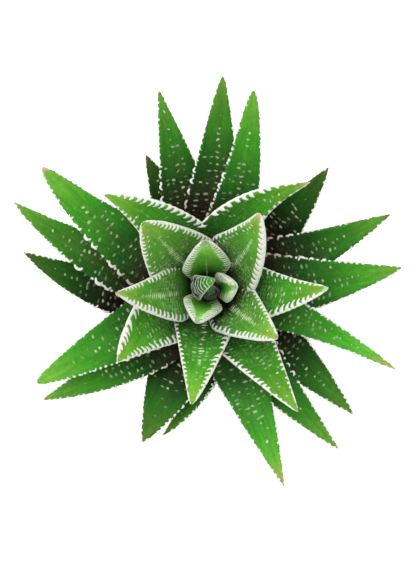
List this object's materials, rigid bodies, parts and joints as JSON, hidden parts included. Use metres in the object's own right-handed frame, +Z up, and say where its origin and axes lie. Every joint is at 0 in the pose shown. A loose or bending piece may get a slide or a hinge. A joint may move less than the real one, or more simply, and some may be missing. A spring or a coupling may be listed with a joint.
{
  "type": "potted haworthia",
  "caption": "Small succulent with a rosette of pointed, white-ridged fleshy leaves on a short stem, growing in potting mix in a plain round clay pot.",
  "frame": {"origin": "middle of the plant's outline, on the pot's axis, at the bottom of the pot", "axes": "+Z up the pot's axis; +Y towards the top of the picture and +X towards its right"},
  "size_m": [0.118, 0.1236, 0.109],
  "materials": {
    "clay": "unglazed, matt",
    "mix": "loose and crumbly",
    "stem": "matt",
    "leaf_old": "satin, fleshy, with raised white dots and teeth",
    "leaf": "satin, fleshy, with raised white ridges",
    "leaf_young": "satin, fleshy, with raised white ridges"
  },
  "bodies": {
    "root": {"pot": "clay", "potting_mix": "mix", "stem": "stem", "outer_leaf_01": "leaf_old", "outer_leaf_02": "leaf_old", "outer_leaf_03": "leaf_old", "outer_leaf_04": "leaf_old", "outer_leaf_05": "leaf_old", "outer_leaf_06": "leaf_old", "outer_leaf_07": "leaf_old", "outer_leaf_08": "leaf_old", "outer_leaf_09": "leaf_old", "outer_leaf_10": "leaf_old", "outer_leaf_11": "leaf_old", "outer_leaf_12": "leaf_old", "outer_leaf_13": "leaf_old", "outer_leaf_14": "leaf_old", "outer_leaf_15": "leaf_old", "outer_leaf_16": "leaf_old", "outer_leaf_17": "leaf_old", "outer_leaf_18": "leaf_old", "middle_leaf_1": "leaf", "middle_leaf_2": "leaf", "middle_leaf_3": "leaf", "middle_leaf_4": "leaf", "middle_leaf_5": "leaf", "middle_leaf_6": "leaf", "inner_leaf_1": "leaf_young", "inner_leaf_2": "leaf_young", "inner_leaf_3": "leaf_young", "inner_leaf_4": "leaf_young", "heart_leaf_1": "leaf_young", "heart_leaf_2": "leaf_young", "heart_leaf_3": "leaf_young", "bud_leaf_1": "leaf_young", "bud_leaf_2": "leaf_young"}
  },
  "joints": []
}
